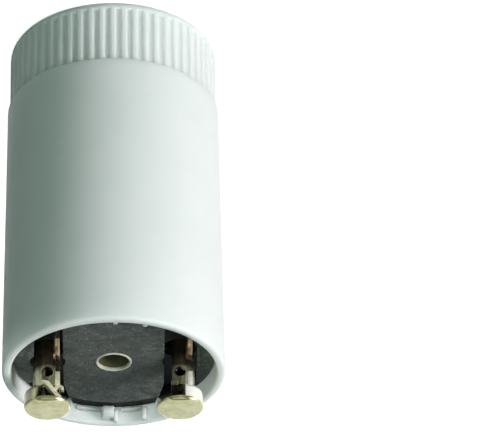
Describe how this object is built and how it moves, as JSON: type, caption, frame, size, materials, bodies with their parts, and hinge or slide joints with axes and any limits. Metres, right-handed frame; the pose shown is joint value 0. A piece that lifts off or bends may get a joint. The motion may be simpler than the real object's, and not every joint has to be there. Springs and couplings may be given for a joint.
{
  "type": "fluorescent lamp starter",
  "caption": "Cylindrical glow starter for fluorescent tubes: a ribbed plastic canister, a base plate and contact pins with wide flat heads",
  "frame": {"origin": "Centre of the flat face of the closed, ribbed crown, the lowest point of the starter as it stands.", "axes": "+Z is the canister's axis, from the crown to the contacts. The contacts stand on the X axis, the left one at +X. -Y is the side that the picture is taken from."},
  "size_m": [0.0216, 0.0216, 0.0404],
  "materials": {
    "canister": "satin off-white",
    "base_plate": "matt dark grey",
    "contacts": "pale, plated, bright",
    "bulb_glass": "clear",
    "stem_glass": "clear",
    "leads": "tinned",
    "bimetal": "rolled",
    "electrode": "drawn",
    "capacitor": "dipped lacquer"
  },
  "bodies": {
    "root": {"canister": "canister", "base_plate": "base_plate", "contact_left": "contacts", "contact_right": "contacts", "bulb_envelope": "bulb_glass", "bulb_stem": "stem_glass", "bulb_lead_left": "leads", "bulb_lead_right": "leads", "bimetal_strip": "bimetal", "fixed_electrode": "electrode", "capacitor_body": "capacitor", "capacitor_lead_left": "leads", "capacitor_lead_right": "leads"}
  },
  "joints": []
}
